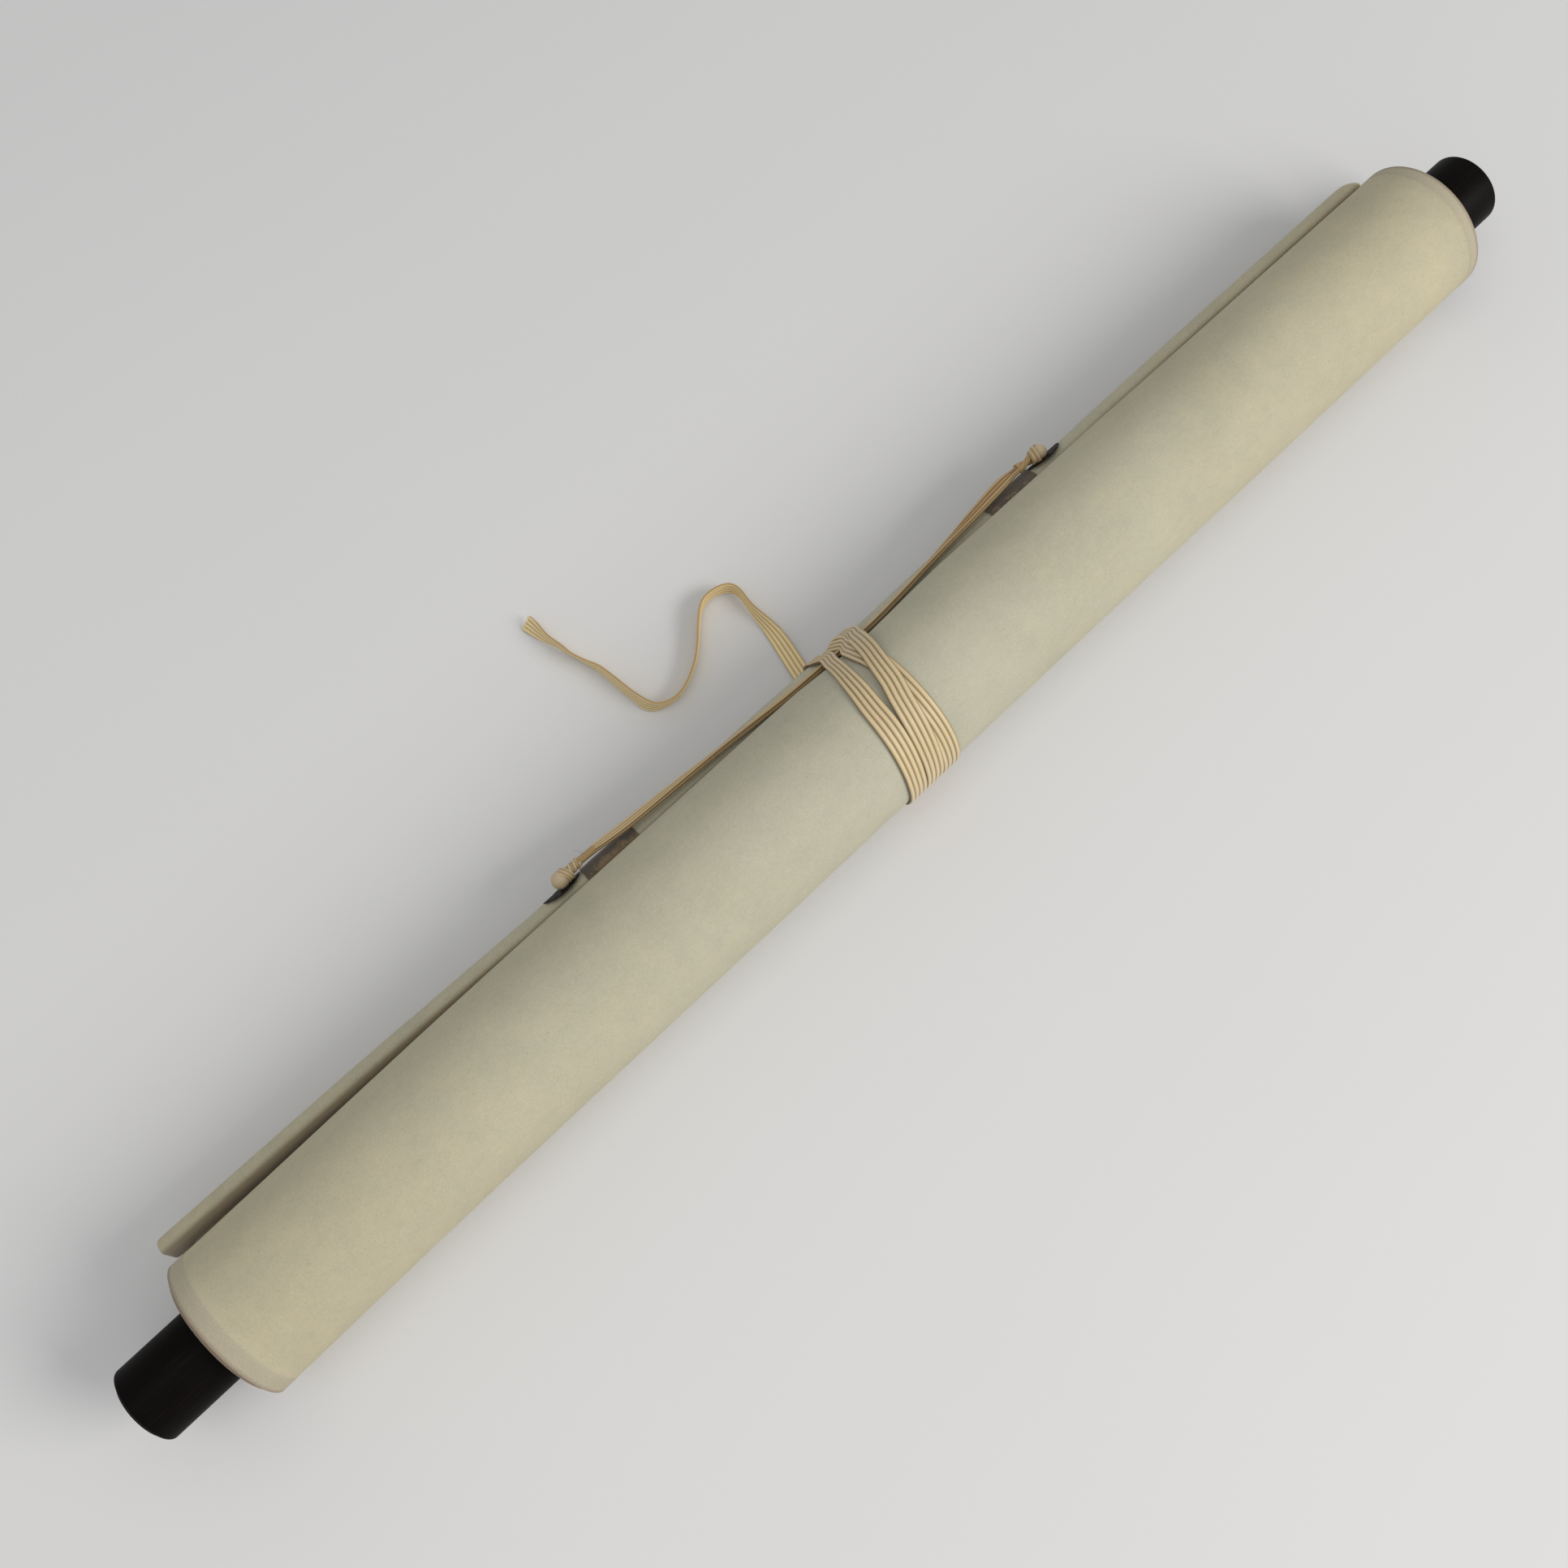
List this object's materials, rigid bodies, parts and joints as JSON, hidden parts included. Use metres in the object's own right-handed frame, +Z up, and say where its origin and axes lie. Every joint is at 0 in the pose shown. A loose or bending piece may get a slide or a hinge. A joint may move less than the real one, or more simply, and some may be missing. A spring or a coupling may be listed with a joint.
{
  "type": "rolled hanging scroll",
  "caption": "Paper and silk hanging scroll, rolled on a wooden roller with dark end knobs and tied with a flat ribbed cord, its half-round batten and hanging cord on the outside.",
  "frame": {"origin": "on the table, under the middle of the roller's axis, where the tied roll rests on the turns of its wrapping cord", "axes": "+X along the roller, +Y to the side where the top batten lies, +Z up"},
  "size_m": [0.606, 0.1418, 0.0515],
  "materials": {
    "sheet_paper": "matt cream backing paper, brown silk on its inner face",
    "roller_wood": "bare softwood",
    "knob_wood": "turned, stained near black, satin",
    "eyelet_metal": "darkened",
    "washer_metal": "black, satin",
    "brocade": "brown brocade with gold threads",
    "cord_silk": "flat doubled braid, slightly glossy",
    "ribbon_silk": "flat ribbed ribbon, slightly glossy"
  },
  "bodies": {
    "root": {"scroll_sheet": "sheet_paper", "roller_rod": "roller_wood", "roller_knob_left": "knob_wood", "roller_knob_right": "knob_wood", "top_batten": "roller_wood", "eyelet_left": "eyelet_metal", "eyelet_right": "eyelet_metal", "eyelet_washer_left": "washer_metal", "eyelet_washer_right": "washer_metal", "wind_band_left": "brocade", "wind_band_right": "brocade", "hanging_cord": "cord_silk", "hanging_knot_left": "cord_silk", "hanging_knot_right": "cord_silk", "wrapping_cord_turns": "ribbon_silk", "wrapping_cord_tail": "ribbon_silk"}
  },
  "joints": []
}
